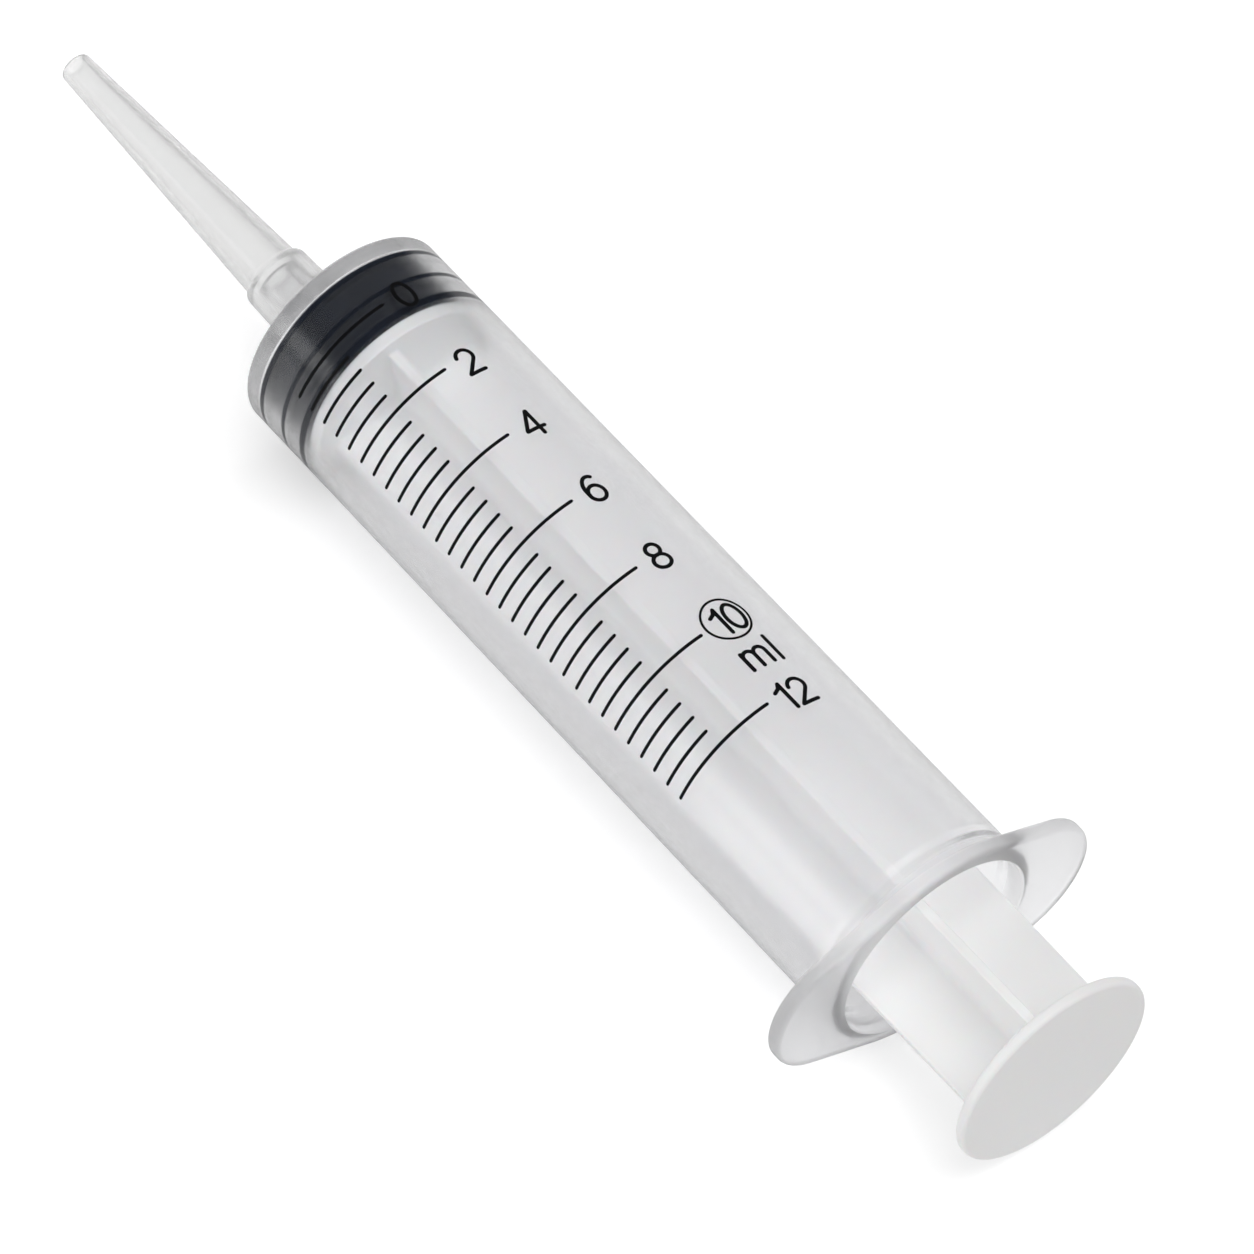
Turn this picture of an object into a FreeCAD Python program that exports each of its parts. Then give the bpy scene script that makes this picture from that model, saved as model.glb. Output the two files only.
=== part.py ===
import FreeCAD, Part
import math
import os
import Sketcher

# Dispensing syringe, lying on the short sides of its finger flange.
# +X runs from the thumb plate to the tip's outlet, +Y to one wing, +Z up.
# The origin is on the floor, under the middle of the whole length.

doc = FreeCAD.newDocument("DispensingSyringe")

# Driving dimensions, in millimetres unless the note says otherwise
dimensions = [
    ("barrel_bore", 17.7, "bore diameter; with the scale it sets the millimetres per millilitre"),
    ("barrel_wall", 0.95, "wall of the tube"),
    ("barrel_length", 73.9, "front face to the flange's front face"),
    ("front_wall", 1.2, "thickness of the closed front"),
    ("front_edge", 0.3, "rounding of the barrel's front rim"),
    ("mouth_lead", 0.15, "lead-in bevel inside the mouth"),
    ("bead_height", 0.12, "how far the retaining bead stands into the bore"),
    ("bead_width", 1.2, "width of the bead"),
    ("bead_inset", 3.0, "bead's middle to the flange's rear face"),
    ("flange_thick", 1.45, "thickness of the finger flange"),
    ("flange_span", 31.5, "wing tip to wing tip"),
    ("flange_end_radius", 6.7, "radius of each wing's round end"),
    ("flange_side_radius", 13.0, "radius of the shallow arc on each short side"),
    ("flange_rise", 0.2, "how far the flange's short sides stand out past the tube"),
    ("flange_edge", 0.45, "rounding of the flange's outline"),
    ("nozzle_drop", 1.9, "nozzle's axis below the barrel's axis"),
    ("nozzle_length", 8.0, "slip nozzle, from the barrel's face"),
    ("nozzle_end", 3.96, "nozzle's diameter at its free end"),
    ("nozzle_bore", 2.1, "channel through the nozzle and the front wall"),
    ("slip_taper", 0.06, "diameter gained for each millimetre of nozzle, a ratio"),
    ("hub_gap", 0.5, "barrel's face to the tip's hub"),
    ("hub_length", 8.4, "length of the tip's hub"),
    ("hub_mouth", 6.5, "hub's outer diameter at its mouth"),
    ("hub_front", 6.1, "hub's outer diameter at its front"),
    ("hub_edge", 0.35, "rounding of the hub's front edge"),
    ("hub_floor", 0.4, "free room between the nozzle's end and the socket's floor"),
    ("slip_clear", 0.02, "radial clearance of hub over nozzle"),
    ("taper_length", 27.65, "long taper, from hub to outlet"),
    ("taper_base", 5.25, "taper's outer diameter at the hub"),
    ("taper_end", 2.82, "taper's outer diameter at the outlet"),
    ("taper_edge", 0.25, "rounding of the outlet's rim"),
    ("taper_throat", 3.7, "channel's diameter where the taper starts"),
    ("outlet_bore", 1.84, "channel's diameter at the outlet"),
    ("outlet_land", 3.0, "parallel stretch of channel at the outlet"),
    ("piston_gap", 0.1, "stopper's face to the front wall, pushed fully in"),
    ("piston_length", 6.2, "length of the stopper"),
    ("rib_clear", 0.03, "radial clearance of the stopper's ribs in the bore"),
    ("groove_depth", 0.55, "depth of the grooves between the ribs"),
    ("rib_flank", 0.15, "length of a rib's sloping side"),
    ("nose_bevel", 0.25, "bevel at the stopper's front edge"),
    ("front_rib", 0.7, "width of the front rib"),
    ("middle_rib", 0.45, "width of the middle rib"),
    ("middle_rib_at", 3.05, "stopper's face to the middle rib"),
    ("rear_rib", 0.75, "width of the rear rib"),
    ("socket_lip", 1.5, "lip that holds the knob in the socket"),
    ("socket_clear", 0.05, "clearance of knob and neck in the socket, all round"),
    ("knob_diameter", 7.2, "knob at its shoulder"),
    ("knob_point", 5.0, "knob at its free end"),
    ("knob_length", 2.6, "length of the knob"),
    ("neck_diameter", 4.8, "neck between knob and head disc"),
    ("disc_gap", 0.05, "stopper's back to the head disc"),
    ("disc_clear", 0.3, "radial clearance of the head disc in the bore"),
    ("disc_thick", 1.2, "thickness of the head disc"),
    ("vane_thick", 0.85, "thickness of the rod's vanes"),
    ("vane_head", 14.2, "width across the vanes at the head disc"),
    ("vane_thumb", 13.3, "width across the vanes at the thumb plate"),
    ("vane_root", 0.8, "fillet where the vanes meet"),
    ("vane_roll", 16.0, "turn of the plunger about its axis, in degrees, upper vane towards +Y"),
    ("thumb_clear", 13.3, "flange's rear face to the thumb plate, pushed fully in"),
    ("thumb_over", 0.35, "how far the thumb plate's rim stands out past the bore"),
    ("thumb_thick", 1.0, "thickness of the thumb plate"),
    ("thumb_edge", 0.35, "rounding of the thumb plate's rim"),
    ("scale_zero", 5.95, "barrel's face to the zero line"),
    ("scale_division", 0.4, "volume between two lines, in millilitres"),
    ("scale_lines", 31, "number of lines, from 0 to 12 ml"),
    ("scale_major", 5, "divisions from one long line to the next"),
    ("line_width", 0.27, "width of a printed line"),
    ("line_thick", 0.1, "height of the ink, drawn heavy so that it clears a faceted tube"),
    ("line_start", 68.0, "all lines start here, in degrees from the top towards +Y"),
    ("short_end", 36.0, "short lines end here, in degrees"),
    ("long_end", 7.0, "long lines end here, in degrees"),
]

near = 1e-4  # how closely an edge must match a size to be picked by it

sheet = doc.addObject("Spreadsheet::Sheet", "Sizes")
for row, (alias, number, note) in enumerate(dimensions, start=1):
    sheet.set(f"A{row}", str(number))
    sheet.setAlias(f"A{row}", alias)
    sheet.set(f"B{row}", note)
doc.recompute()


def size(text):
    """Turn a formula in plain size names into one that reads the sheet."""
    names = sorted((alias for alias, _, _ in dimensions), key=len, reverse=True)
    words = text.replace("(", " ( ").replace(")", " ) ").split()
    return " ".join(f"Sizes.{word}" if word in names else word for word in words)


def number(text):
    """Value of a formula in size names, with the sheet's present numbers."""
    result = sheet.evalExpression(size(text))
    return float(getattr(result, "Value", result))


# Radii and stations that several pieces share
bore_radius = "barrel_bore / 2"
tube_radius = "( barrel_bore / 2 + barrel_wall )"
axis_height = f"( {tube_radius} + flange_rise )"
barrel_total = "( barrel_length + flange_thick )"
behind_face = f"( {barrel_total} + thumb_clear + thumb_thick )"
ahead_of_face = "( hub_gap + hub_length + taper_length )"
face_station = f"( ( {behind_face} - {ahead_of_face} ) / 2 )"
piston_station = f"( {face_station} - front_wall - piston_gap )"
disc_station = f"( {piston_station} - piston_length - disc_gap )"
rib_radius = "( barrel_bore / 2 - rib_clear )"
groove_radius = "( barrel_bore / 2 - rib_clear - groove_depth )"
thumb_radius = "( barrel_bore / 2 + thumb_over )"


def new_body(label, station, height, roll=None):
    """Empty body, placed by its station along the syringe and its height."""
    body = doc.addObject("PartDesign::Body", label)
    body.Label = label
    body.setExpression("Placement.Base.x", size(station))
    body.setExpression("Placement.Base.z", size(height))
    if roll:
        body.Placement.Rotation = FreeCAD.Rotation(FreeCAD.Vector(1, 0, 0), number(roll))
        body.setExpression("Placement.Rotation.Angle", size(roll))
    return body


def new_sketch(body, name, plane, shift=None):
    """Sketch on one of the body's own origin planes; shift moves it as (axis letter, formula)."""
    sketch = body.newObject("Sketcher::SketchObject", name)
    support = next(item for item in body.Origin.OriginFeatures if item.Role == plane)
    sketch.AttachmentSupport = [(support, "")]
    sketch.MapMode = "FlatFace"
    if shift:
        letter, formula = shift
        sketch.setExpression(f"AttachmentOffset.Base.{letter}", size(formula))
    return sketch


def dimension(sketch, kind, where, formula):
    """Driving dimension of a sketch, bound to a formula in size names."""
    index = sketch.addConstraint(Sketcher.Constraint(kind, *where, number(formula)))
    sketch.setExpression(f"Constraints[{index}]", size(formula))


def fix_point(sketch, edge, end, across, up):
    """Dimension one end of an edge from the sketch's origin; a "0" puts it on the axis."""
    for kind, axis, formula in (("DistanceX", -2, across), ("DistanceY", -1, up)):
        if formula == "0":
            sketch.addConstraint(Sketcher.Constraint("PointOnObject", edge, end, axis))
        else:
            dimension(sketch, kind, (-1, 1, edge, end), formula)


def outline(sketch, corners):
    """Closed outline of straight edges through corners given as pairs of formulas."""
    points = [FreeCAD.Vector(number(across), number(up), 0) for across, up in corners]
    count = len(points)
    for index in range(count):
        sketch.addGeometry(Part.LineSegment(points[index], points[(index + 1) % count]), False)
    for index in range(count):
        sketch.addConstraint(Sketcher.Constraint("Coincident", index, 2, (index + 1) % count, 1))
    for index, (across, up) in enumerate(corners):
        fix_point(sketch, index, 1, across, up)


def turned(body, kind, name, sketch, angle="360"):
    """Revolution or Groove of a sketch about the sketch's own X axis."""
    feature = body.newObject(f"PartDesign::{kind}", name)
    feature.Profile = sketch
    feature.ReferenceAxis = (sketch, ["H_Axis"])
    feature.setExpression("Angle", size(angle))
    doc.recompute()
    return feature


def rounded(body, name, radius, chosen):
    """Fillet on the edges of the body's tip that chosen(edge) picks."""
    base = body.Tip
    names = [f"Edge{k}" for k, edge in enumerate(base.Shape.Edges, start=1) if chosen(edge)]
    fillet = body.newObject("PartDesign::Fillet", name)
    fillet.Base = (base, names)
    fillet.setExpression("Radius", size(radius))
    doc.recompute()
    return fillet


def lies_across(edge):
    """True for an edge in a plane square to X."""
    return edge.BoundBox.XLength < near


def is_rim(edge, station, radius):
    """True for the circle of that radius in the plane X = station."""
    box = edge.BoundBox
    return (lies_across(edge) and abs(box.XMin - number(station)) < near
            and abs(box.YLength / 2 - number(radius)) < near)


# Barrel: the flange is padded and rounded first, then the tube is turned through it.
barrel = new_body("barrel", face_station, axis_height)

# Outline: a round end on each wing and a shallow arc along each short side, joined by straight
# lines that are tangent to both. Each line faces away from the axis at the angle facing.
wings = new_sketch(barrel, "FlangeOutline", "YZ_Plane", ("z", f"0 - {barrel_total}"))
end_radius = number("flange_end_radius")
side_radius = number("flange_side_radius")
end_centre = number("flange_span / 2 - flange_end_radius")
side_centre = number(f"flange_side_radius - {axis_height}")
slant = math.atan2(side_centre, end_centre)
facing = slant + math.acos((side_radius - end_radius) / math.hypot(end_centre, side_centre))
normal = FreeCAD.Vector(0, 0, 1)
half_turn = math.pi
arcs = [
    (end_centre, 0, end_radius, -facing, facing),
    (0, -side_centre, side_radius, facing, half_turn - facing),
    (-end_centre, 0, end_radius, half_turn - facing, half_turn + facing),
    (0, side_centre, side_radius, half_turn + facing, 2 * half_turn - facing),
]
for across, up, radius, first, last in arcs:
    circle = Part.Circle(FreeCAD.Vector(across, up, 0), normal, radius)
    wings.addGeometry(Part.ArcOfCircle(circle, first, last), False)
for index in range(4):
    following = (index + 1) % 4
    ends = wings.Geometry[index].EndPoint, wings.Geometry[following].StartPoint
    line = wings.addGeometry(Part.LineSegment(*ends), False)
    wings.addConstraint(Sketcher.Constraint("Tangent", index, 2, line, 1))
    wings.addConstraint(Sketcher.Constraint("Tangent", line, 2, following, 1))
for index, axis in ((0, -1), (2, -1), (1, -2), (3, -2)):
    wings.addConstraint(Sketcher.Constraint("PointOnObject", index, 3, axis))
for index in (0, 1):
    wings.addConstraint(Sketcher.Constraint("Equal", index, index + 2))
dimension(wings, "Radius", (0,), "flange_end_radius")
dimension(wings, "Radius", (1,), "flange_side_radius")
dimension(wings, "DistanceX", (-1, 1, 0, 3), "flange_span / 2 - flange_end_radius")
dimension(wings, "DistanceX", (-1, 1, 2, 3), "flange_end_radius - flange_span / 2")
dimension(wings, "DistanceY", (-1, 1, 1, 3), f"{axis_height} - flange_side_radius")
dimension(wings, "DistanceY", (-1, 1, 3, 3), f"flange_side_radius - {axis_height}")
middle_of_wall = "( barrel_bore / 2 + barrel_wall / 2 )"
ring = wings.addGeometry(Part.Circle(FreeCAD.Vector(0, 0, 0), normal, number(middle_of_wall)))
wings.addConstraint(Sketcher.Constraint("Coincident", ring, 3, -1, 1))
dimension(wings, "Radius", (ring,), middle_of_wall)

flange = barrel.newObject("PartDesign::Pad", "Flange")
flange.Profile = wings
flange.setExpression("Length", size("flange_thick"))
doc.recompute()


rounded(barrel, "FlangeRounding", "flange_edge",
        lambda edge: lies_across(edge) and not edge.isClosed())

# Section of the tube, from the closed front round to the mouth and back along the bore
tube_section = new_sketch(barrel, "TubeSection", "XZ_Plane")
bead_middle = f"( {barrel_total} - bead_inset )"
outline(tube_section, [
    ("0", "0"),
    ("0", tube_radius),
    (f"0 - {barrel_total}", tube_radius),
    (f"0 - {barrel_total}", f"{bore_radius} + mouth_lead"),
    (f"mouth_lead - {barrel_total}", bore_radius),
    (f"0 - {bead_middle} - bead_width / 2", bore_radius),
    (f"0 - {bead_middle}", f"{bore_radius} - bead_height"),
    (f"bead_width / 2 - {bead_middle}", bore_radius),
    ("0 - front_wall", bore_radius),
    ("0 - front_wall", "0"),
])
turned(barrel, "Revolution", "Tube", tube_section)
rounded(barrel, "FrontRim", "front_edge", lambda edge: is_rim(edge, "0", tube_radius))

# Slip nozzle, off the barrel's axis; its sketch's X axis is the nozzle's own axis
nozzle_drop = ("y", "0 - nozzle_drop")
nozzle_section = new_sketch(barrel, "NozzleSection", "XZ_Plane", nozzle_drop)
outline(nozzle_section, [
    ("0 - front_wall / 2", "0"),
    ("0 - front_wall / 2", "nozzle_end / 2 + slip_taper * ( nozzle_length + front_wall / 2 ) / 2"),
    ("nozzle_length", "nozzle_end / 2"),
    ("nozzle_length", "0"),
])
turned(barrel, "Revolution", "Nozzle", nozzle_section)
channel_section = new_sketch(barrel, "ChannelSection", "XZ_Plane", nozzle_drop)
outline(channel_section, [
    ("0 - 2 * front_wall", "0"),
    ("0 - 2 * front_wall", "nozzle_bore / 2"),
    ("nozzle_length + front_wall", "nozzle_bore / 2"),
    ("nozzle_length + front_wall", "0"),
])
turned(barrel, "Groove", "Channel", channel_section)

# Tip: hub with a tapered socket that follows the nozzle, then the long hollow taper
tip = new_body("tip", f"{face_station} + hub_gap", f"{axis_height} - nozzle_drop")
tip_section = new_sketch(tip, "TipSection", "XZ_Plane")
socket_depth = "( nozzle_length - hub_gap + hub_floor )"
socket_mouth = "( nozzle_end / 2 + slip_taper * ( nozzle_length - hub_gap ) / 2 + slip_clear )"
socket_end = "( nozzle_end / 2 - slip_taper * hub_floor / 2 + slip_clear )"
tip_total = "( hub_length + taper_length )"
outline(tip_section, [
    ("0", socket_mouth),
    ("0", "hub_mouth / 2"),
    ("hub_length", "hub_front / 2"),
    ("hub_length", "taper_base / 2"),
    (tip_total, "taper_end / 2"),
    (tip_total, "outlet_bore / 2"),
    (f"{tip_total} - outlet_land", "outlet_bore / 2"),
    ("hub_length", "taper_throat / 2"),
    (socket_depth, socket_end),
])
turned(tip, "Revolution", "TipBody", tip_section)
rounded(tip, "HubRounding", "hub_edge", lambda edge: is_rim(edge, "hub_length", "hub_front / 2"))
rounded(tip, "OutletRounding", "taper_edge", lambda edge: is_rim(edge, tip_total, "taper_end / 2"))

# Piston: three ribs, two grooves and the undercut socket for the plunger's knob
piston = new_body("piston", piston_station, axis_height)
piston_section = new_sketch(piston, "PistonSection", "XZ_Plane")
socket_floor = "( socket_lip + knob_length + 2 * socket_clear )"
outline(piston_section, [
    ("0", "0"),
    ("0", f"{rib_radius} - nose_bevel"),
    ("0 - nose_bevel", rib_radius),
    ("0 - front_rib", rib_radius),
    ("0 - front_rib - rib_flank", groove_radius),
    ("rib_flank - middle_rib_at", groove_radius),
    ("0 - middle_rib_at", rib_radius),
    ("0 - middle_rib_at - middle_rib", rib_radius),
    ("0 - middle_rib_at - middle_rib - rib_flank", groove_radius),
    ("rear_rib + rib_flank - piston_length", groove_radius),
    ("rear_rib - piston_length", rib_radius),
    ("0 - piston_length", rib_radius),
    ("0 - piston_length", "neck_diameter / 2 + socket_clear"),
    ("socket_lip - piston_length", "neck_diameter / 2 + socket_clear"),
    ("socket_lip - piston_length", "knob_diameter / 2 + socket_clear"),
    (f"{socket_floor} - piston_length", "knob_point / 2 + socket_clear"),
    (f"{socket_floor} - piston_length", "0"),
])
turned(piston, "Revolution", "Stopper", piston_section)

# Plunger: its own origin is on the head disc's front face
plunger = new_body("plunger", disc_station, axis_height, "0 - vane_roll")
disc_radius = f"( {bore_radius} - disc_clear )"
knob_shoulder = "( disc_gap + socket_lip + socket_clear )"
head_section = new_sketch(plunger, "HeadSection", "XZ_Plane")
outline(head_section, [
    ("0 - disc_thick", "0"),
    ("0 - disc_thick", disc_radius),
    ("0", disc_radius),
    ("0", "neck_diameter / 2"),
    (knob_shoulder, "neck_diameter / 2"),
    (knob_shoulder, "knob_diameter / 2"),
    (f"{knob_shoulder} + knob_length", "knob_point / 2"),
    (f"{knob_shoulder} + knob_length", "0"),
])
turned(plunger, "Revolution", "Head", head_section)

# Vanes: two crossing blades from the head disc to the thumb plate
thumb_front = f"( {barrel_total} + thumb_clear - front_wall - piston_gap - piston_length - disc_gap )"
for name, plane in (("UprightVane", "XZ_Plane"), ("LevelVane", "XY_Plane")):
    blade = new_sketch(plunger, f"{name}Outline", plane)
    outline(blade, [
        ("0 - disc_thick / 2", "0 - vane_head / 2"),
        ("0 - disc_thick / 2", "vane_head / 2"),
        (f"0 - {thumb_front} - thumb_thick / 2", "vane_thumb / 2"),
        (f"0 - {thumb_front} - thumb_thick / 2", "0 - vane_thumb / 2"),
    ])
    vane = plunger.newObject("PartDesign::Pad", name)
    vane.Profile = blade
    vane.Midplane = True
    vane.setExpression("Length", size("vane_thick"))
    doc.recompute()


def is_vane_root(edge):
    """True for a long edge where two vanes meet."""
    box = edge.BoundBox
    half_vane = number("vane_thick / 2")
    return (box.XLength > number("thumb_clear") and abs(abs(box.YMin) - half_vane) < near
            and abs(abs(box.ZMin) - half_vane) < near)


rounded(plunger, "VaneRoots", "vane_root", is_vane_root)

plate_section = new_sketch(plunger, "ThumbSection", "XZ_Plane")
outline(plate_section, [
    (f"0 - {thumb_front} - thumb_thick", "0"),
    (f"0 - {thumb_front} - thumb_thick", thumb_radius),
    (f"0 - {thumb_front}", thumb_radius),
    (f"0 - {thumb_front}", "0"),
])
turned(plunger, "Revolution", "ThumbPlate", plate_section)
rounded(plunger, "ThumbRounding", "thumb_edge",
        lambda edge: is_rim(edge, f"0 - {thumb_front}", thumb_radius)
        or is_rim(edge, f"0 - {thumb_front} - thumb_thick", thumb_radius))

# Graduations: every line has the short stretch, and each major line the long one as well.
# Area times spacing is the volume of one division, so the spacing follows the bore.
line_spacing = "( 1000 * scale_division / ( pi * ( barrel_bore / 2 ) ^ 2 ) )"
graduations = new_body("graduations", face_station, axis_height)
graduations.AllowCompound = True


def scale_lines(name, start, end, count, spacing):
    """Row of equal printed lines, each an arc of the tube from start to end degrees."""
    section = new_sketch(graduations, f"{name}Section", "XZ_Plane")
    section.AttachmentOffset.Rotation = FreeCAD.Rotation(FreeCAD.Vector(1, 0, 0), number(start))
    section.setExpression("AttachmentOffset.Rotation.Angle", size(start))
    outline(section, [
        ("0 - scale_zero - line_width / 2", tube_radius),
        ("0 - scale_zero - line_width / 2", f"{tube_radius} + line_thick"),
        ("line_width / 2 - scale_zero", f"{tube_radius} + line_thick"),
        ("line_width / 2 - scale_zero", tube_radius),
    ])
    line = turned(graduations, "Revolution", name, section, f"( {end} ) - ( {start} )")
    row = graduations.newObject("PartDesign::LinearPattern", f"{name}Row")
    row.Originals = [line]
    row.Direction = (section, ["H_Axis"])
    row.Reversed = True
    row.setExpression("Occurrences", size(count))
    row.setExpression("Length", size(f"( {count} - 1 ) * {spacing}"))
    graduations.Tip = row
    doc.recompute()


scale_lines("ShortLine", "0 - line_start", "0 - short_end", "scale_lines", line_spacing)
scale_lines("LongLine", "0 - short_end", "0 - long_end", "( ( scale_lines - 1 ) / scale_major + 1 )",
            f"scale_major * {line_spacing}")

doc.recompute()

# Every object is sound before anything is written
for item in doc.Objects:
    if "Invalid" in item.State or "Error" in item.State:
        raise RuntimeError(f"{item.Name} failed: {item.State}")
bodies = [barrel, graduations, tip, piston, plunger]
for body in bodies:
    if body.Shape.isNull() or not body.Shape.isValid():
        raise RuntimeError(f"{body.Label} has no sound shape")

os.makedirs("parts", exist_ok=True)
for body in bodies:
    body.Shape.exportStep(f"parts/{body.Label}.step")
    print(body.Label, len(body.Shape.Solids), "solids", round(body.Shape.Volume, 2), "mm3")
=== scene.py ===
import math

import bpy
import numpy as np
from mathutils import Matrix, Vector


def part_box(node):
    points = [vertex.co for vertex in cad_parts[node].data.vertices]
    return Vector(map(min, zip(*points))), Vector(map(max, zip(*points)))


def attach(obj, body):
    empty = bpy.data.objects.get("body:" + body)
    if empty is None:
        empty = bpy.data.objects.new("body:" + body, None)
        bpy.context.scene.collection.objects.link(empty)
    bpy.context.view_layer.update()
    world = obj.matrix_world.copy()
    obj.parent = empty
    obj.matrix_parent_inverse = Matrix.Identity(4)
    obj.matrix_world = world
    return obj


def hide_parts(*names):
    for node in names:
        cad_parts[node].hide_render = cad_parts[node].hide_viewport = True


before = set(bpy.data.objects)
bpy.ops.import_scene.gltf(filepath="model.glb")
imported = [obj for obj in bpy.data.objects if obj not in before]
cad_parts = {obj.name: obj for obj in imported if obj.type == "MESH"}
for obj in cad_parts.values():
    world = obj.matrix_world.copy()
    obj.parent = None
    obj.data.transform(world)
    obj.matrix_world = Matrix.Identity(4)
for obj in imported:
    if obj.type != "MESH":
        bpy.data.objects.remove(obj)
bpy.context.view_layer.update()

# Dispensing syringe. The dictionaries are in millimetres, the meshes in metres.
mm = 0.001


def boxOf(node):
    # lowest and highest corner of a frame node, in millimetres
    return [np.array(corner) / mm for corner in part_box(node)]


barrelLow, barrelHigh = boxOf("barrel")
tipLow, tipHigh = boxOf("tip")
pistonLow, pistonHigh = boxOf("piston")
plungerLow, plungerHigh = boxOf("plunger")
axisHeight = (barrelLow[2] + barrelHigh[2]) / 2
tipHeight = (tipLow[2] + tipHigh[2]) / 2

# Barrel: tube, closed front with an off-centre slip nozzle, and a two-wing finger flange
barrel = {
    "bore": 8.85,  # radius of the bore
    "wall": 0.95,
    "frontWall": 1.2,
    "frontEdge": 0.3,  # rounding of the front rim
    "innerEdge": 0.3,  # rounding where the bore meets the front wall
    "flangeThick": 1.45,
    "flangeEnd": 6.7,  # radius of each wing's round end
    "flangeSide": 13.0,  # and of the shallow arc on each short side
    "flangeEdge": 0.45,  # rounding of the flange's outline
    "mouthLead": 0.15,  # bevel inside the mouth
    "beadHeight": 0.12,
    "beadWidth": 1.2,
    "beadInset": 3.0,
    "faceRing": 0.3,  # the front face gets a ring this far outside the nozzle's root
    "nozzleLength": 8.0,
    "nozzleEnd": 1.98,  # radius at the free end
    "nozzleRoot": 2.22,
    "nozzleBore": 1.05,
    "satinEnd": 0.2,  # the satin finish ends this far in front of the flange
    "around": 384,  # points round each ring
}
tubeRadius = barrel["bore"] + barrel["wall"]
frontFace = barrelHigh[0] - barrel["nozzleLength"]
nozzleDrop = axisHeight - tipHeight

# Camera: where the photograph was taken from, as angles about the syringe
view = {
    "aim": (-10.706, 0.042, 10.0),
    "azimuth": 134.948,  # from +X towards +Y, degrees
    "elevation": 52.046,
    "roll": 8.009,  # the picture's top leans this far
    "distance": 611.56,
    "lens": 221.4,  # for a 36 mm frame
}


def lookFrom(azimuth, elevation):
    # unit vector towards a place in the sky
    turn, lift = math.radians(azimuth), math.radians(elevation)
    return Vector((math.cos(turn) * math.cos(lift), math.sin(turn) * math.cos(lift), math.sin(lift)))


def makeCamera():
    data = bpy.data.cameras.new("camera")
    data.lens = view["lens"]
    data.sensor_width = 36
    data.clip_start = 0.05
    data.clip_end = 20
    camera = bpy.data.objects.new("camera", data)
    bpy.context.collection.objects.link(camera)
    away = lookFrom(view["azimuth"], view["elevation"])
    turned = away.to_track_quat("Z", "Y").to_matrix() @ Matrix.Rotation(math.radians(view["roll"]), 3, "Z")
    place = (Vector(view["aim"]) + away * view["distance"]) * mm
    camera.matrix_world = Matrix.Translation(place) @ turned.to_4x4()
    bpy.context.scene.camera = camera
    print("camera at", [round(value, 4) for value in place])


# Surfaces: a grid of rings by points, closed round each ring
nearAxis = 0.2  # radius of the last ring before a pole


def roundedPath(corners, closed=False, steps=8, support=0.04, splits=0, longSide=2.0):
    # corners are rows of (first, second, rounding, carried). Each corner becomes an arc of its
    # rounding, tangent to both sides. Each straight side gets points near its ends, which keep it
    # flat under smooth shading, and splits more of them if it is longer than longSide.
    corners = np.array(corners, dtype=float)
    points, radii, carried = corners[:, :2], corners[:, 2], corners[:, 3]
    count = len(corners)
    arcs = []
    for index in range(count):
        here = points[index]
        row = np.array([[*here, carried[index]]])
        if radii[index] > 0 and (closed or 0 < index < count - 1):
            before = points[index - 1] - here
            after = points[(index + 1) % count] - here
            before /= np.linalg.norm(before)
            after /= np.linalg.norm(after)
            half = math.acos(np.clip(before @ after, -1, 1)) / 2
            middle = (before + after) / np.linalg.norm(before + after)
            centre = here + middle * radii[index] / math.sin(half)
            reach = radii[index] / math.tan(half)
            first = (here + before * reach - centre) / radii[index]
            last = (here + after * reach - centre) / radii[index]
            swing = math.acos(np.clip(first @ last, -1, 1))
            share = np.linspace(0, 1, steps + 1)[:, None]
            mix = (np.sin((1 - share) * swing) * first + np.sin(share * swing) * last) / math.sin(swing)
            row = np.column_stack([centre + radii[index] * mix, np.full(steps + 1, carried[index])])
        arcs.append(row)
    rows = []
    for index in range(count if closed else count - 1):
        rows.append(arcs[index])
        start, end = arcs[index][-1], arcs[(index + 1) % count][0]
        length = np.linalg.norm(end[:2] - start[:2])
        edge = min(support / length, 0.25)
        share = np.linspace(edge, 1 - edge, 2 + (splits if length > longSide else 0))[:, None]
        rows.append(start + (end - start) * share)
    if not closed:
        rows.append(arcs[-1])
    return np.concatenate(rows)


def ringsAbout(profile, angles, height):
    # profile rows are (x, radius, drop): each is a circle about the line at height, dropped by drop
    x, radius, drop = (profile[:, column, None] for column in range(3))
    flat = np.ones_like(angles)
    return np.stack([x * flat, radius * np.cos(angles), height - drop + radius * np.sin(angles)], axis=-1)


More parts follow.
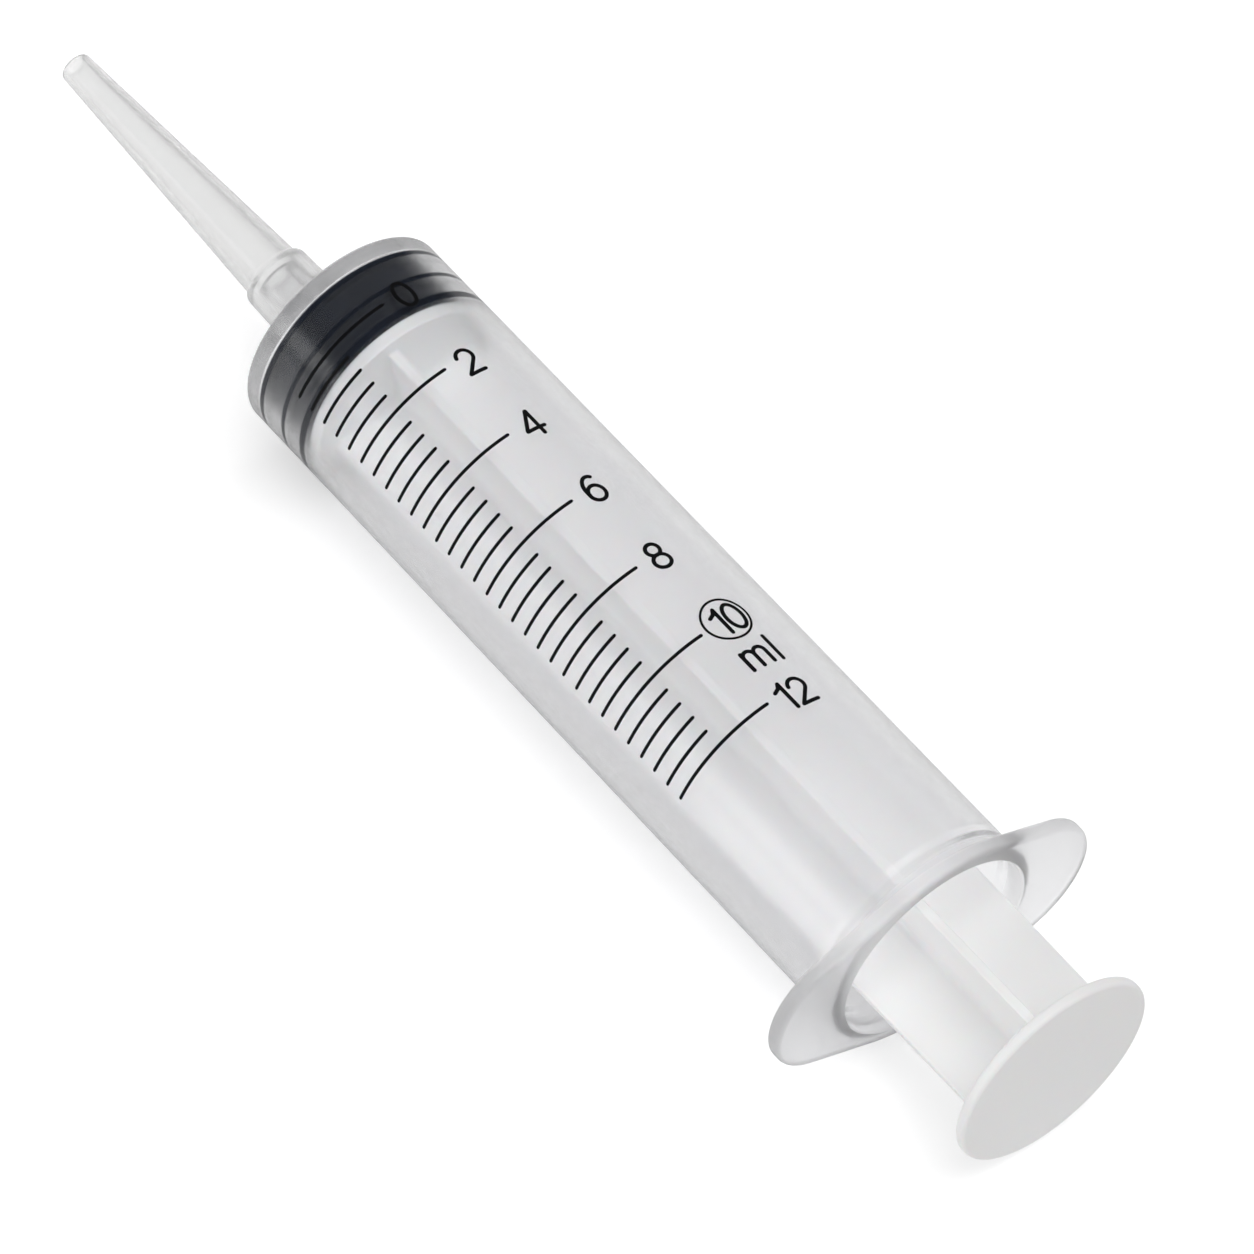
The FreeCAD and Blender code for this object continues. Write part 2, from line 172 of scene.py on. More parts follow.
def makePiece(name, parts, body, node, slot, sharp=30):
    # parts are (grid, loop, poles): rings that close on themselves, or end in a pole point or openly.
    # Faces are turned outwards by the sign of the volume that they enclose.
    points, faces, offset = [], [], 0
    for grid, loop, poles in parts:
        rings, around = grid.shape[:2]
        index = np.arange(rings * around).reshape(rings, around)
        near, far = (index, np.roll(index, -1, axis=0)) if loop else (index[:-1], index[1:])
        quads = np.stack([near, np.roll(near, -1, 1), np.roll(far, -1, 1), far], axis=-1).reshape(-1, 4)
        flat = grid.reshape(-1, 3)
        corner = flat - flat.mean(axis=0)
        one, two, three, four = (corner[quads[:, side]] for side in range(4))
        volume = (one * np.cross(two, three)).sum() + (one * np.cross(three, four)).sum()
        fans = []
        for pole, ring, forward in ((poles[0], index[0], False), (poles[1], index[-1], True)):
            if pole is not None:
                apex = np.full(around, len(flat))
                flat = np.vstack([flat, pole])
                pair = (ring, np.roll(ring, -1)) if forward else (np.roll(ring, -1), ring)
                fans.append(np.stack([pair[0], pair[1], apex], axis=-1))
        made = [quads] + fans
        if volume < 0:
            made = [block[:, ::-1] for block in made]
        for block in made:
            faces += (block + offset).tolist()
        points.append(flat)
        offset += len(flat)
    mesh = bpy.data.meshes.new(name)
    mesh.from_pydata((np.concatenate(points) * mm).tolist(), [], faces)
    mesh.shade_smooth()
    mesh.set_sharp_from_angle(angle=math.radians(sharp))
    piece = bpy.data.objects.new(name, mesh)
    bpy.context.collection.objects.link(piece)
    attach(piece, body)
    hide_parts(node)
    mesh.materials.append(bpy.data.materials[finishes[slot]])
    print(name, len(mesh.vertices), "points")
    return piece


# Materials
def linear(code):
    # sRGB hex to linear red, green, blue, alpha
    parts = np.array([int(code[place:place + 2], 16) for place in (0, 2, 4)]) / 255
    bent = np.where(parts <= 0.04045, parts / 12.92, ((parts + 0.055) / 1.055) ** 2.4)
    return (*bent.tolist(), 1.0)


def addNode(tree, kind, settings=None, links=None):
    # one node; settings are properties or input values, links are input: (node, output)
    node = tree.nodes.new(kind)
    for key, value in (settings or {}).items():
        if isinstance(key, str) and hasattr(node, key):
            setattr(node, key, value)
        else:
            node.inputs[key].default_value = value
    for key, (source, output) in (links or {}).items():
        tree.links.new(source.outputs[output], node.inputs[key])
    return node


def newMaterial(name):
    material = bpy.data.materials.new(name)
    material.use_nodes = True
    material.node_tree.nodes.clear()
    return material, material.node_tree


def perWave(size):
    # noise scale for a pattern whose waves are size millimetres long
    return 1 / (size * mm)


def unevenFinish(tree, wave, roughness, ripple, depth):
    # roughness that drifts between two values over wave mm, and a bump of depth mm over ripple mm
    where = addNode(tree, "ShaderNodeTexCoord")
    broad = addNode(tree, "ShaderNodeTexNoise", {"Scale": perWave(wave), "Detail": 3.0},
                    {"Vector": (where, "Object")})
    rough = addNode(tree, "ShaderNodeMapRange", {"To Min": roughness[0], "To Max": roughness[1]},
                    {"Value": (broad, "Fac")})
    fine = addNode(tree, "ShaderNodeTexNoise", {"Scale": perWave(ripple), "Detail": 2.0},
                   {"Vector": (where, "Object")})
    bump = addNode(tree, "ShaderNodeBump", {"Strength": 1.0, "Distance": depth * mm},
                   {"Height": (fine, "Fac")})
    return broad, rough, bump


def letLampsThrough(tree, shader, colour):
    # rays towards a lamp pass the surface with this colour, so what is behind it is lit
    path = addNode(tree, "ShaderNodeLightPath")
    clear = addNode(tree, "ShaderNodeBsdfTransparent", {"Color": linear(colour)})
    both = addNode(tree, "ShaderNodeMixShader", None,
                   {0: (path, "Is Shadow Ray"), 1: (shader, "BSDF"), 2: (clear, "BSDF")})
    addNode(tree, "ShaderNodeOutputMaterial", None, {"Surface": (both, "Shader")})


def clearPolypropylene():
    # Clarified polypropylene, injection moulded: clear with a faint violet-grey cast and a thin haze
    # that softens what lies behind the wall. The flange comes from a satin part of the tool.
    material, tree = newMaterial("clearPolypropylene")
    broad, rough, bump = unevenFinish(tree, 9, (0.19, 0.24), 5, 0.002)
    where = addNode(tree, "ShaderNodeTexCoord")
    along = addNode(tree, "ShaderNodeSeparateXYZ", None, {"Vector": (where, "Object")})
    satinEnd = barrelLow[0] + barrel["flangeThick"] + barrel["satinEnd"]
    satin = addNode(tree, "ShaderNodeMapRange",
                    {"From Min": satinEnd * mm, "From Max": (satinEnd + 0.3) * mm,
                     "To Min": 0.2, "To Max": 0.0}, {"Value": (along, "X")})
    finish = addNode(tree, "ShaderNodeMath", {"operation": "ADD"}, {0: (rough, 0), 1: (satin, 0)})
    shader = addNode(tree, "ShaderNodeBsdfPrincipled",
                     {"Base Color": linear("F9F9FA"), "IOR": 1.49, "Transmission Weight": 0.996},
                     {"Roughness": (finish, "Value"), "Normal": (bump, "Normal")})
    letLampsThrough(tree, shader, "F2F2F3")


def frostedPolyethylene():
    # Natural low-density polyethylene, moulded over a blasted core: milky, its hollow only hinted at
    material, tree = newMaterial("frostedPolyethylene")
    broad, rough, bump = unevenFinish(tree, 5, (0.19, 0.26), 1.6, 0.003)
    shader = addNode(tree, "ShaderNodeBsdfPrincipled",
                     {"Base Color": linear("FAFAFA"), "IOR": 1.51, "Transmission Weight": 0.8},
                     {"Roughness": (rough, "Result"), "Normal": (bump, "Normal")})
    letLampsThrough(tree, shader, "E6E6E6")


def butylRubber():
    # Bromobutyl rubber, compression moulded and siliconised: blue-black. The oil wets it to the wall,
    # so hardly any light is mirrored where they meet.
    material, tree = newMaterial("butylRubber")
    broad, rough, bump = unevenFinish(tree, 3, (0.3, 0.42), 0.6, 0.01)
    tone = addNode(tree, "ShaderNodeValToRGB", None, {"Fac": (broad, "Fac")})
    tone.color_ramp.elements[0].color = linear("0B111C")
    tone.color_ramp.elements[1].color = linear("111A29")
    shader = addNode(tree, "ShaderNodeBsdfPrincipled", {"IOR": 1.5, "Specular IOR Level": 0.1},
                     {"Base Color": (tone, "Color"), "Roughness": (rough, "Result"),
                      "Normal": (bump, "Normal")})
    addNode(tree, "ShaderNodeOutputMaterial", None, {"Surface": (shader, "BSDF")})


def whitePolypropylene():
    # Filled white polypropylene, moulded in a satin tool: soft white, light soaks in a little
    material, tree = newMaterial("whitePolypropylene")
    broad, rough, bump = unevenFinish(tree, 12, (0.34, 0.46), 0.9, 0.004)
    tone = addNode(tree, "ShaderNodeValToRGB", None, {"Fac": (broad, "Fac")})
    tone.color_ramp.elements[0].color = linear("F9FAFA")
    tone.color_ramp.elements[1].color = linear("FCFCFC")
    shader = addNode(tree, "ShaderNodeBsdfPrincipled",
                     {"IOR": 1.49, "Subsurface Weight": 0.15, "Subsurface Scale": 0.001},
                     {"Base Color": (tone, "Color"), "Roughness": (rough, "Result"),
                      "Normal": (bump, "Normal")})
    addNode(tree, "ShaderNodeOutputMaterial", None, {"Surface": (shader, "BSDF")})


def printedInk():
    # Solvent ink, pad printed: dense black, slightly uneven where the pad lifted
    material, tree = newMaterial("printedInk")
    broad, rough, bump = unevenFinish(tree, 0.8, (0.35, 0.55), 0.2, 0.003)
    tone = addNode(tree, "ShaderNodeValToRGB", None, {"Fac": (broad, "Fac")})
    tone.color_ramp.elements[0].color = linear("050506")
    tone.color_ramp.elements[1].color = linear("0C0C0E")
    shader = addNode(tree, "ShaderNodeBsdfPrincipled", {"IOR": 1.5, "Specular IOR Level": 0.1},
                     {"Base Color": (tone, "Color"), "Roughness": (rough, "Result"),
                      "Normal": (bump, "Normal")})
    addNode(tree, "ShaderNodeOutputMaterial", None, {"Surface": (shader, "BSDF")})


finishes = {
    "clear_plastic": "clearPolypropylene",
    "frosted_plastic": "frostedPolyethylene",
    "stopper_rubber": "butylRubber",
    "white_plastic": "whitePolypropylene",
    "ink": "printedInk",
}


# The pieces
def flangeRadius(angles, inset):
    # Polar radius of the flange's outline, moved in by inset. The outline is a circle on each wing, a
    # shallow arc on each short side, and straight flanks tangent to both. On an arc the radius solves the
    # circle's equation along the ray, and on a flank it is the flank's distance from the axis over the
    # cosine of the angle to the way that it faces.
    centre = (barrelHigh[1] - barrelLow[1]) / 2 - barrel["flangeEnd"]
    below = barrel["flangeSide"] - (barrelHigh[2] - barrelLow[2]) / 2
    lean = math.acos((barrel["flangeSide"] - barrel["flangeEnd"]) / math.hypot(centre, below))
    facing = math.atan2(below, centre) + lean
    sine, cosine = math.sin(facing), math.cos(facing)
    end, side = barrel["flangeEnd"] - inset, barrel["flangeSide"] - inset
    across, up = np.abs(np.cos(angles)), np.abs(np.sin(angles))
    turn = np.arctan2(up, across)
    onEnd = centre * across + np.sqrt(np.maximum(end**2 - (centre * up)**2, 0))
    onFlank = (centre * cosine + end) / np.cos(turn - facing)
    onSide = np.sqrt(side**2 - (below * across)**2) - below * up
    flankStart = np.arctan2(end * sine, centre + end * cosine)
    flankEnd = np.arctan2(side * sine - below, side * cosine)
    return np.where(turn < flankStart, onEnd, np.where(turn < flankEnd, onFlank, onSide))


def makeBarrel():
    # One closed loop of rings: along the tube's outside, round the flange, in through the mouth, down
    # the bore, through the channel and back over the nozzle and the front face.
    angles = np.linspace(0, 2 * math.pi, barrel["around"], endpoint=False)
    rear = barrelLow[0]
    flangeFront = rear + barrel["flangeThick"]
    edge = barrel["flangeEdge"]
    bore = barrel["bore"]
    bead = rear + barrel["beadInset"]
    width = barrel["beadWidth"]
    inner = frontFace - barrel["frontWall"]
    drop = nozzleDrop
    outside = roundedPath([
        (frontFace, barrel["nozzleRoot"] + barrel["faceRing"], 0, drop),
        (frontFace, tubeRadius, barrel["frontEdge"], 0),
        (flangeFront + 0.1, tubeRadius, 0, 0),
    ])
    inside = roundedPath([
        (rear, bore + barrel["mouthLead"] + 0.05, 0, 0),
        (rear, bore + barrel["mouthLead"], 0.03, 0),
        (rear + barrel["mouthLead"], bore, 0.3, 0),
        (bead - width / 2, bore, 0.5, 0),
        (bead, bore - barrel["beadHeight"], 0.5, 0),
        (bead + width / 2, bore, 0.5, 0),
        (inner, bore, barrel["innerEdge"], 0),
        (inner, barrel["nozzleBore"], 0.15, drop),
        (barrelHigh[0], barrel["nozzleBore"], 0.12, drop),
        (barrelHigh[0], barrel["nozzleEnd"], 0.2, drop),
        (frontFace, barrel["nozzleRoot"], 0.15, drop),
        (frontFace, barrel["nozzleRoot"] + barrel["faceRing"], 0, drop),
    ])[:-1]
    # flange: at each angle the edge's rounding stops where the tube's surface cuts it
    proud = flangeRadius(angles, 0) - tubeRadius
    swing = np.arccos(1 - np.minimum(edge, 0.9 * proud) / edge)
    rings = []
    for share in np.linspace(1, 0, 9):
        part = swing * share
        depth = edge * (1 - np.sin(part))
        radius = flangeRadius(angles, edge * (1 - np.cos(part)))
        if share == 1:
            rings.append((flangeFront - depth, np.full_like(angles, tubeRadius)))
        rings.append((flangeFront - depth, radius))
    for part in np.linspace(0, math.pi / 2, 9):
        depth = edge * (1 - math.sin(part))
        radius = flangeRadius(angles, edge * (1 - math.cos(part)))
        rings.append((np.full_like(angles, rear + depth), radius))
    flange = np.stack([
        np.stack([x, radius * np.cos(angles), axisHeight + radius * np.sin(angles)], axis=-1)
        for x, radius in rings])
    grid = np.concatenate([ringsAbout(outside, angles, axisHeight), flange,
                           ringsAbout(inside, angles, axisHeight)])
    makePiece("barrelMoulding", [(grid, True, (None, None))], "barrel", "barrel", "clear_plastic")


# Tip: hub over the nozzle, and a long hollow taper
tip = {
    "hubLength": 8.4,
    "hubFront": 3.05,  # outer radius at the hub's front
    "hubEdge": 0.35,
    "socketMouth": 2.235,  # inner radius at the hub's mouth
    "socketEnd": 1.988,
    "socketDepth": 7.9,
    "taperBase": 2.625,
    "taperEnd": 1.41,
    "throat": 1.85,
    "outlet": 0.92,
    "outletLand": 3.0,
    "around": 256,
}


def makeTip():
    # A closed outline turned about the tip's own axis
    angles = np.linspace(0, 2 * math.pi, tip["around"], endpoint=False)
    start, end = tipLow[0], tipHigh[0]
    hub = start + tip["hubLength"]
    profile = roundedPath([
        (start, tip["socketMouth"], 0.15, 0),
        (start, (tipHigh[2] - tipLow[2]) / 2, 0.1, 0),
        (hub, tip["hubFront"], tip["hubEdge"], 0),
        (hub, tip["taperBase"], 0.05, 0),
        (end, tip["taperEnd"], 0.16, 0),
        (end, tip["outlet"], 0.12, 0),
        (end - tip["outletLand"], tip["outlet"], 0.5, 0),
        (hub, tip["throat"], 0.5, 0),
        (start + tip["socketDepth"], tip["socketEnd"], 0.05, 0),
    ], closed=True)
    grid = ringsAbout(profile, angles, tipHeight)
    makePiece("taperedTip", [(grid, True, (None, None))], "tip", "tip", "frosted_plastic")


# Piston: ribs squeezed against the bore, with grooves between them
piston = {
    "squeeze": 0.03,  # the ribs press this far into the wall, so that no air shows between
    "grooveDepth": 0.55,
    "flank": 0.15,
    "noseBevel": 0.25,
    "frontRib": 0.7,
    "middleRib": 0.45,
    "middleRibAt": 3.05,
    "rearRib": 0.75,
    "socketLip": 1.5,
    "socketNeck": 2.45,
    "socketRadius": 3.65,
    "socketPoint": 2.55,
    "socketLength": 2.7,
    "around": 256,
}


def makePiston():
    # An outline turned about the axis, from the nose's middle to the floor of the knob's socket
    angles = np.linspace(0, 2 * math.pi, piston["around"], endpoint=False)
    nose, back = pistonHigh[0], pistonLow[0]
    rib = barrel["bore"] + piston["squeeze"]
    groove = (pistonHigh[2] - pistonLow[2]) / 2 - piston["grooveDepth"]
    middle = nose - piston["middleRibAt"]
    flank = piston["flank"]
    lip = back + piston["socketLip"]
    floor = lip + piston["socketLength"]
    profile = roundedPath([
        (nose, nearAxis, 0, 0),
        (nose, rib - piston["noseBevel"], 0.1, 0),
        (nose - piston["noseBevel"], rib, 0.08, 0),
        (nose - piston["frontRib"], rib, 0.06, 0),
        (nose - piston["frontRib"] - flank, groove, 0.1, 0),
        (middle + flank, groove, 0.1, 0),
        (middle, rib, 0.06, 0),
        (middle - piston["middleRib"], rib, 0.06, 0),
        (middle - piston["middleRib"] - flank, groove, 0.1, 0),
        (back + piston["rearRib"] + flank, groove, 0.1, 0),
        (back + piston["rearRib"], rib, 0.06, 0),
        (back, rib, 0.12, 0),
        (back, piston["socketNeck"], 0.1, 0),
        (lip, piston["socketNeck"], 0.1, 0),
        (lip, piston["socketRadius"], 0.1, 0),
        (floor, piston["socketPoint"], 0.1, 0),
        (floor, nearAxis, 0, 0),
    ])
    grid = ringsAbout(profile, angles, axisHeight)
    poles = ([nose, 0, axisHeight], [floor, 0, axisHeight])
    makePiece("rubberPiston", [(grid, False, poles)], "piston", "piston", "stopper_rubber")


# Plunger: knob and head disc in front, four vanes, thumb plate behind
plunger = {
    "knobPoint": 2.5,
    "knobRadius": 3.6,
    "knobLength": 2.6,
    "neckRadius": 2.4,
    "neckLength": 1.6,
    "discRadius": 8.55,
    "discThick": 1.2,
    "vaneThick": 0.85,
    "vaneHead": 14.2,
    "vaneThumb": 13.3,
    "vaneRoot": 0.8,
    "vaneEdge": 0.12,
    "roll": 16.0,  # degrees from upright, upper vane towards +Y
    "thumbThick": 1.0,
    "thumbEdge": 0.35,
    "splits": 16,  # points along a vane's side
}


def crossOutline(width):
    # Outline of the four vanes: a plus shape with rounded edges and filleted roots
    half, wide = plunger["vaneThick"] / 2, width / 2
    quarter = [(wide, -half, plunger["vaneEdge"]), (wide, half, plunger["vaneEdge"]),
               (half, half, plunger["vaneRoot"])]
    corners = []
    for turn in range(4):
        cos, sin = round(math.cos(turn * math.pi / 2)), round(math.sin(turn * math.pi / 2))
        corners += [(a * cos - b * sin, a * sin + b * cos, edge, 0) for a, b, edge in quarter]
    return roundedPath(corners, closed=True, steps=6, support=0.03, splits=plunger["splits"])[:, :2]


def makePlunger():
    # Rings of equal count from knob to thumb plate: circles on the round parts, and the vanes' outline
    # between the discs, with a flat step from one to the other on each disc's face
    cross = [crossOutline(plunger["vaneHead"]), crossOutline(plunger["vaneThumb"])]
    count = len(cross[0])
    middle = np.argmin(np.abs(np.arctan2(cross[0][:count // 8, 1], cross[0][:count // 8, 0])))
    angles = (np.arange(count) - middle) * 2 * math.pi / count
    roll = math.radians(plunger["roll"])
    knobEnd, thumbRear = plungerHigh[0], plungerLow[0]
    shoulder = knobEnd - plunger["knobLength"]
    face = shoulder - plunger["neckLength"]
    discRear = face - plunger["discThick"]
    thumbFront = thumbRear + plunger["thumbThick"]
    thumbRadius = (plungerHigh[2] - plungerLow[2]) / 2
    head = roundedPath([
        (knobEnd, nearAxis, 0, 0),
        (knobEnd, plunger["knobPoint"], 0.3, 0),
        (shoulder, plunger["knobRadius"], 0.15, 0),
        (shoulder, plunger["neckRadius"], 0.1, 0),
        (face, plunger["neckRadius"], 0.2, 0),
        (face, plunger["discRadius"], 0.15, 0),
        (discRear, plunger["discRadius"], 0.15, 0),
        (discRear, plunger["discRadius"] - 0.4, 0, 0),
    ])
    plate = roundedPath([
        (thumbFront, thumbRadius - 0.6, 0, 0),
        (thumbFront, thumbRadius, plunger["thumbEdge"], 0),
        (thumbRear, thumbRadius, plunger["thumbEdge"], 0),
        (thumbRear, nearAxis, 0, 0),
    ])
    turned = angles - roll
    rod = []
    for share in np.linspace(0, 1, 5):
        outline = cross[0] * (1 - share) + cross[1] * share
        x = discRear + (thumbFront - discRear) * share
        across = outline[:, 0] * math.cos(roll) + outline[:, 1] * math.sin(roll)
        up = outline[:, 1] * math.cos(roll) - outline[:, 0] * math.sin(roll)
        rod.append(np.stack([np.full(count, x), across, axisHeight + up], axis=-1))
    grid = np.concatenate([ringsAbout(head, turned, axisHeight), np.stack(rod),
                           ringsAbout(plate, turned, axisHeight)])
    poles = ([knobEnd, 0, axisHeight], [thumbRear, 0, axisHeight])
    makePiece("plungerRod", [(grid, False, poles)], "plunger", "plunger", "white_plastic")


# Print: graduation lines, numerals, the ring about the nominal volume, and the unit
scale = {
    "zero": 5.95,  # barrel's face to the zero line
    "lines": 31,
    "major": 5,
    "division": 400.0,  # cubic millimetres from line to line
    "lineWidth": 0.29,
    "start": 68.0,  # degrees from the top towards +Y
    "shortEnd": 36.0,
    "longEnd": 7.0,
    "step": 2.0,  # degrees between points on a line
    "height": 2.75,  # of a numeral
    "pen": 0.34,  # stroke of a numeral
    "ringAt": (46.4, -8.7),  # its middle from the barrel's face, and degrees from the top
    "ringRadius": 2.05,
    "ringPen": 0.2,
    "film": 0.03,  # how far the ink stands out
    "bite": 0.01,  # and how far it keys into the surface
}

# Each glyph is a list of strokes in a box one high: a stroke is lines through points, or an arc as
# (centre across, centre up, radius across, radius up, from degrees, to degrees)
glyphs = {
    "0": [(0.31, 0.5, 0.27, 0.47, 0, 360)],
    "1": [[(0.36, 0.02), (0.36, 0.97)], [(0.36, 0.97), (0.27, 0.82), (0.1, 0.74)]],
    "2": [(0.3, 0.7, 0.26, 0.27, 170, -38), [(0.505, 0.535), (0.05, 0.05)], [(0.05, 0.04), (0.58, 0.04)]],
    "4": [[(0.45, 0.02), (0.45, 0.96)], [(0.43, 0.96), (0.03, 0.3)], [(0.03, 0.27), (0.63, 0.27)]],
    "6": [(0.31, 0.32, 0.26, 0.29, 0, 360), (0.36, 0.47, 0.31, 0.5, 195, 62)],
    "8": [(0.31, 0.74, 0.22, 0.22, 0, 360), (0.31, 0.28, 0.27, 0.25, 0, 360)],
    "m": [[(0.06, 0.02), (0.06, 0.68)], (0.25, 0.47, 0.19, 0.21, 180, 0), [(0.44, 0.47), (0.44, 0.02)],
          (0.63, 0.47, 0.19, 0.21, 180, 0), [(0.82, 0.47), (0.82, 0.02)]],
    "l": [[(0.1, 0.02), (0.1, 0.97)]],
}

# What is printed beside the lines: text, its middle from the barrel's face, and degrees from the top
labels = [
    ("0", 6.05, -5.5),
    ("2", 14.5, -5.5),
    ("4", 22.33, -6.6),
    ("6", 30.35, -6.0),
    ("8", 38.49, -5.8),
    ("1", 46.45, -4.2),
    ("0", 46.45, -13.4),
    ("m", 50.35, -6.4),
    ("l", 50.45, -17.4),
    ("1", 55.0, -1.6),
    ("2", 55.1, -11.3),
]


def onTube(points, level):
    # wraps (distance behind the face, arc length towards +Y) round the tube, level above its surface
    angle = points[..., 1] / tubeRadius
    radius = tubeRadius + level
    return np.stack([frontFace - points[..., 0], radius * np.sin(angle),
                     axisHeight + radius * np.cos(angle)], axis=-1)


def penStroke(path, width, closed=False):
    # A slab of ink along a path: its section is a rectangle, and its ends are half circles, where the
    # half width at a distance d past the end is the square root of (half pen squared - d squared).
    ahead = np.roll(path, -1, axis=0) - np.roll(path, 1, axis=0)
    if not closed:
        ahead[0], ahead[-1] = path[1] - path[0], path[-1] - path[-2]
    ahead /= np.linalg.norm(ahead, axis=1)[:, None]
    halves = np.full(len(path), width / 2)
    poles = (None, None)
    if not closed:
        bend = np.radians(np.arange(15, 90, 15))
        out, half = np.cos(bend) * width / 2, np.sin(bend) * width / 2
        first, last = path[0] - out[:, None] * ahead[0], path[-1] + out[::-1, None] * ahead[-1]
        ends = [path[0] - ahead[0] * width / 2, path[-1] + ahead[-1] * width / 2]
        poles = tuple(onTube(end, 0.0) for end in ends)
        ahead = np.concatenate([np.repeat(ahead[:1], 5, 0), ahead, np.repeat(ahead[-1:], 5, 0)])
        halves = np.concatenate([half, halves, half[::-1]])
        path = np.concatenate([first, path, last])
    aside = np.stack([-ahead[:, 1], ahead[:, 0]], axis=-1) * halves[:, None]
    levels = (-scale["bite"], scale["film"])
    sides = [onTube(path - aside, levels[0]), onTube(path - aside, levels[1]),
             onTube(path + aside, levels[1]), onTube(path + aside, levels[0])]
    return np.stack(sides, axis=1), closed, poles


def glyphPaths(text, behind, degrees):
    # a glyph's strokes on the tube, their tops towards the tip and read away from +Y
    size = scale["height"]
    made = []
    for stroke in glyphs[text]:
        closed = False
        if isinstance(stroke, tuple):
            cx, cy, rx, ry, start, end = stroke
            closed = end - start == 360
            turn = np.radians(np.linspace(start, end, 41)[:-1] if closed else np.linspace(start, end, 25))
            points = np.stack([cx + rx * np.cos(turn), cy + ry * np.sin(turn)], axis=-1)
        else:
            corners = np.array(stroke)
            steps = np.linspace(0, len(corners) - 1, 6 * (len(corners) - 1) + 1)
            order = np.arange(len(corners))
            points = np.stack([np.interp(steps, order, corners[:, side]) for side in (0, 1)], axis=-1)
        made.append((points, closed))
    lowest = min(points[:, 0].min() for points, _ in made)
    highest = max(points[:, 0].max() for points, _ in made)
    middle = np.array([(lowest + highest) / 2, 0.5])
    arc = math.radians(degrees) * tubeRadius
    placed = []
    for points, closed in made:
        away = (points - middle) * size
        placed.append((np.stack([behind - away[:, 1], arc - away[:, 0]], axis=-1), closed))
    return placed


def makePrint():
    parts = []
    spacing = scale["division"] / (math.pi * barrel["bore"]**2)
    for line in range(scale["lines"]):
        end = scale["longEnd"] if line % scale["major"] == 0 else scale["shortEnd"]
        degrees = np.arange(scale["start"], end - 0.1, -scale["step"])
        arc = np.radians(np.append(degrees, end) if degrees[-1] != end else degrees) * tubeRadius
        path = np.stack([np.full_like(arc, scale["zero"] + line * spacing), arc], axis=-1)
        parts.append(penStroke(path, scale["lineWidth"]))
    for text, behind, degrees in labels:
        for path, closed in glyphPaths(text, behind, degrees):
            parts.append(penStroke(path, scale["pen"], closed))
    turn = np.linspace(0, 2 * math.pi, 96, endpoint=False)
    behind, degrees = scale["ringAt"]
    centre = np.array([behind, math.radians(degrees) * tubeRadius])
    ring = centre + scale["ringRadius"] * np.stack([np.cos(turn), np.sin(turn)], axis=-1)
    parts.append(penStroke(ring, scale["ringPen"], True))
    makePiece("printedScale", parts, "barrel", "graduations", "ink")


# Stage: white sweep, studio lamps and a pale surround
stage = {
    "floorSize": 4000.0,
    "floorColour": "F2F2F2",
    "glow": 0.43,  # added to the floor's white where the eye sees it straight
    "glowThrough": 0.34,  # and where it shows through the plastic
    # light from above, by how far along the barrel it comes from: -1 is the plunger's end
    "surround": [(-0.35, 0.3), (-0.05, 1.2), (0.04, 1.2), (0.29, 0.03), (0.6, 0.03), (0.8, 0.8)],
    "horizon": (0.0, 0.1),  # white up to the first height in the sky, and none of it past the second
}

# Each lamp: azimuth and elevation of its place, distance, width, height, and brightness, where 1 is white
lamps = {
    "overheadBox": (192, 72, 900, 620, 620, 2.4),
    "sideStrip": (62.5, 18.5, 800, 520, 210, 1.25),
    "leftFill": (100, 10, 1000, 560, 260, 2.7),
}


def makeStage():
    material, tree = newMaterial("paperSweep")
    path = addNode(tree, "ShaderNodeLightPath")
    straight = addNode(tree, "ShaderNodeMath", {"operation": "MULTIPLY", 1: stage["glow"]},
                       {0: (path, "Is Camera Ray")})
    share = addNode(tree, "ShaderNodeMath", {"operation": "MULTIPLY_ADD", 1: stage["glowThrough"]},
                    {0: (path, "Is Transmission Ray"), 2: (straight, 0)})
    paper = addNode(tree, "ShaderNodeBsdfDiffuse", {"Color": linear(stage["floorColour"])})
    glow = addNode(tree, "ShaderNodeEmission", {"Color": (1, 1, 1, 1)}, {"Strength": (share, 0)})
    both = addNode(tree, "ShaderNodeAddShader", None, {0: (paper, 0), 1: (glow, 0)})
    addNode(tree, "ShaderNodeOutputMaterial", None, {"Surface": (both, "Shader")})
    half = stage["floorSize"] / 2 * mm
    mesh = bpy.data.meshes.new("floor")
    corners = [(-half, -half, 0), (half, -half, 0), (half, half, 0), (-half, half, 0)]
    mesh.from_pydata(corners, [], [(0, 1, 2, 3)])
    mesh.materials.append(material)
    floor = bpy.data.objects.new("floor", mesh)
    bpy.context.collection.objects.link(floor)


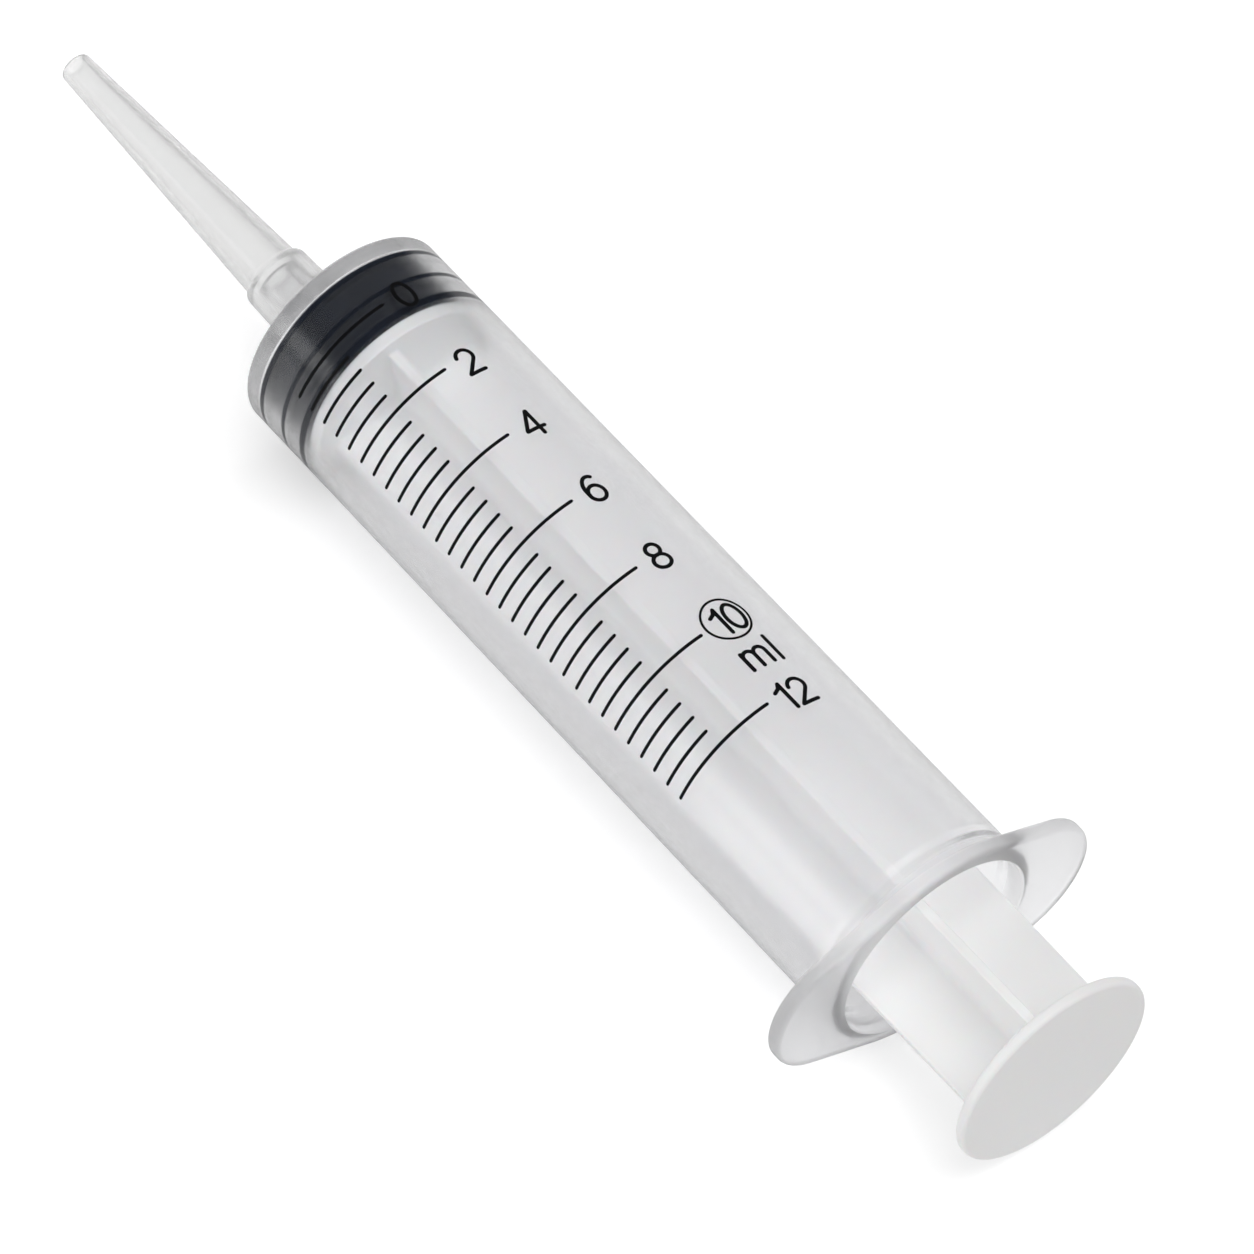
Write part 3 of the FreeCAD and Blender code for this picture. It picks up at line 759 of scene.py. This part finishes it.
def makeLamps():
    for name, (azimuth, elevation, distance, width, height, brightness) in lamps.items():
        data = bpy.data.lights.new(name, "AREA")
        data.shape = "RECTANGLE"
        data.size = width * mm
        data.size_y = height * mm
        data.energy = brightness * math.pi * width * height * mm * mm
        lamp = bpy.data.objects.new(name, data)
        bpy.context.collection.objects.link(lamp)
        away = lookFrom(azimuth, elevation)
        lamp.matrix_world = (Matrix.Translation(away * distance * mm)
                             @ away.to_track_quat("Z", "Y").to_matrix().to_4x4())


def makeWorld():
    world = bpy.data.worlds.new("surround")
    world.use_nodes = True
    tree = world.node_tree
    tree.nodes.clear()
    path = addNode(tree, "ShaderNodeLightPath")
    where = addNode(tree, "ShaderNodeTexCoord")
    along = addNode(tree, "ShaderNodeSeparateXYZ", None, {"Vector": (where, "Generated")})
    place = addNode(tree, "ShaderNodeMapRange", {"From Min": -1.0}, {"Value": (along, "X")})
    level = addNode(tree, "ShaderNodeValToRGB", None, {"Fac": (place, "Result")})
    stops = level.color_ramp.elements
    while len(stops) < len(stage["surround"]):
        stops.new(0.5)
    for stop, (position, brightness) in zip(stops, stage["surround"]):
        stop.position = (position + 1) / 2
        stop.color = (brightness, brightness, brightness, 1)
    low, high = stage["horizon"]
    horizon = addNode(tree, "ShaderNodeMapRange",
                      {"From Min": low, "From Max": high, "To Min": 1.0, "To Max": 0.0},
                      {"Value": (along, "Z")})
    around = addNode(tree, "ShaderNodeMath", {"operation": "MAXIMUM"}, {0: (level, 0), 1: (horizon, 0)})
    strength = addNode(tree, "ShaderNodeMath", {"operation": "MAXIMUM"},
                       {0: (around, 0), 1: (path, "Is Camera Ray")})
    light = addNode(tree, "ShaderNodeBackground", {"Color": (1, 1, 1, 1)}, {"Strength": (strength, 0)})
    addNode(tree, "ShaderNodeOutputWorld", None, {"Surface": (light, "Background")})
    bpy.context.scene.world = world


makeCamera()
for makeFinish in (clearPolypropylene, frostedPolyethylene, butylRubber, whitePolypropylene, printedInk):
    makeFinish()
makeBarrel()
makeTip()
makePiston()
makePlunger()
makePrint()
makeStage()
makeLamps()
makeWorld()
bpy.context.scene.view_settings.view_transform = "Standard"
bpy.context.scene.cycles.glossy_bounces = 12  # light runs round inside the flange's edge
bpy.context.scene.cycles.max_bounces = 20
bpy.context.scene.cycles.transmission_bounces = 20
